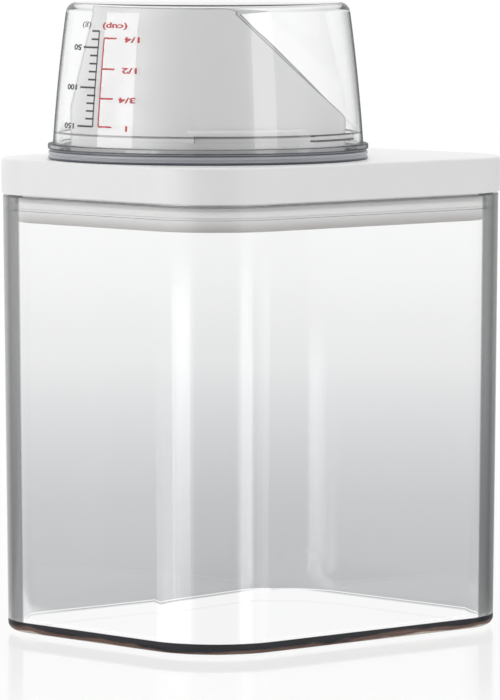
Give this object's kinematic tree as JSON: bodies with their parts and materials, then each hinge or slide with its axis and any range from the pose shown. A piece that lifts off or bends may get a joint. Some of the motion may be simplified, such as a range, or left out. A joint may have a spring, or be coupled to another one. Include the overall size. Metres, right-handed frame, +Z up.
{
  "type": "storage jar with pouring spout and measuring cup cap",
  "caption": "Clear oblong storage jar with a white push-in lid, a slanting pouring spout and a clear measuring cup that caps the spout.",
  "frame": {"origin": "centre of the footprint on the surface the jar stands on", "axes": "+Z up; X along the jar's longer side, with the spout and cup towards -X"},
  "size_m": [0.126, 0.1036, 0.18],
  "materials": {
    "clear_plastic": "clear gloss",
    "white_plastic": "satin",
    "seal_rubber": "soft translucent",
    "frosted_ring": "frosted"
  },
  "bodies": {
    "jar_body": {"jar": "clear_plastic"},
    "lid_body": {"lid": "white_plastic", "lid_seal": "seal_rubber", "spout": "white_plastic"},
    "ring_body": {"cup_ring": "frosted_ring"},
    "cup_body": {"measuring_cup": "clear_plastic"}
  },
  "joints": [
    {"name": "lid_lift", "type": "slide", "parent": "jar_body", "child": "lid_body", "axis": [0, 0, 1], "range_m": [0, 0.04]},
    {"name": "cup_lift", "type": "slide", "parent": "lid_body", "child": "ring_body", "axis": [0, 0, 1], "range_m": [0, 0.06]},
    {"name": "cup_turn", "type": "hinge", "parent": "ring_body", "child": "cup_body", "pos_m": [-0.01675, 0, 0.1357], "axis": [0, 0, -1], "range_deg": [0, 46]}
  ]
}
